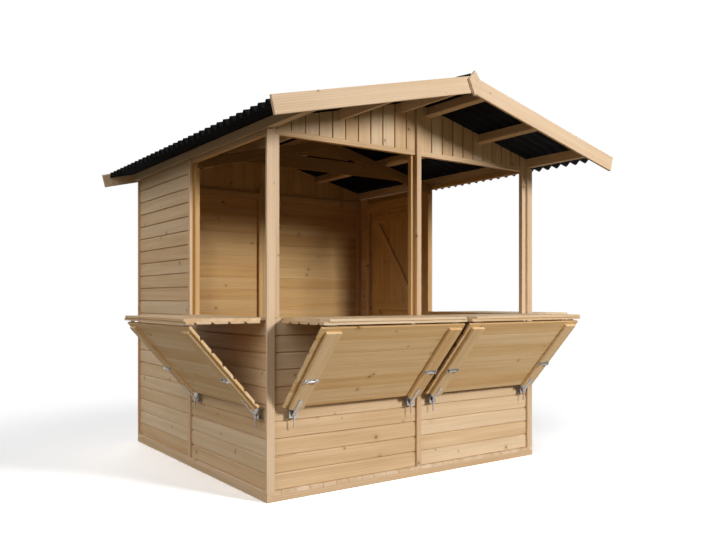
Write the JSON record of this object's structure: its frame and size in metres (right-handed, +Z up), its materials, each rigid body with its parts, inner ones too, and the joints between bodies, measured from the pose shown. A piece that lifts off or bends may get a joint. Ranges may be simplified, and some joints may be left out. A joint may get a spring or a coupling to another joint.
{
  "type": "wooden market stall",
  "caption": "Wooden market stall hut with corrugated gable roof, open serving sides with fold-down counter hatches, and a boarded side door.",
  "frame": {"origin": "middle of the base, on the underside of the middle floor bearer, at floor level", "axes": "+Z up, front with its two counters faces -Y, +X to the right seen from the front; the door is on the +X side"},
  "size_m": [3.292, 2.97, 2.6071],
  "materials": {
    "clad_timber": "planed softwood boards, clear stained, satin",
    "roof_timber": "planed softwood, untreated, matt",
    "base_timber": "rough softwood, worn, matt",
    "bitumen_sheet": "black corrugated bitumen sheet, matt",
    "zinc_steel": "zinc plated, slightly dulled"
  },
  "bodies": {
    "stall": {"apex_plates": "roof_timber", "back_bargeboards": "roof_timber", "back_gable": "clad_timber", "back_studs": "clad_timber", "back_wall": "clad_timber", "base_bearers": "base_timber", "cover_strips": "clad_timber", "door_frame": "clad_timber", "door_hinge_pins": "zinc_steel", "floor_deck": "base_timber", "front_bargeboards": "roof_timber", "front_corner_posts": "clad_timber", "front_gable": "clad_timber", "front_left_counter": "clad_timber", "front_left_flap": "clad_timber", "front_mid_post": "clad_timber", "front_right_counter": "clad_timber", "front_right_flap": "clad_timber", "front_wall": "clad_timber", "hatch_bolts": "zinc_steel", "hatch_brackets": "zinc_steel", "hatch_hasps": "zinc_steel", "hatch_hinges": "zinc_steel", "left_counter": "clad_timber", "left_flap": "clad_timber", "left_rear_frame": "clad_timber", "left_wall_front": "clad_timber", "left_wall_rear": "clad_timber", "purlins": "roof_timber", "ridge_cap": "bitumen_sheet", "right_counter": "clad_timber", "right_flap": "clad_timber", "right_wall_beside_door": "clad_timber", "right_wall_front": "clad_timber", "right_wall_over_door": "clad_timber", "right_wall_rear": "clad_timber", "roof_sheet_left": "bitumen_sheet", "roof_sheet_right": "bitumen_sheet", "side_mid_posts": "clad_timber", "top_rails": "clad_timber", "truss_rafters": "roof_timber", "truss_tie": "roof_timber", "wall_rails": "clad_timber"},
    "door_leaf": {"door": "clad_timber", "door_straps": "zinc_steel"}
  },
  "joints": [
    {"name": "door_hinge", "type": "hinge", "parent": "stall", "child": "door_leaf", "pos_m": [1.143, 0.127, 1.119], "axis": [0, 0, -1], "range_deg": [0, 100]}
  ]
}
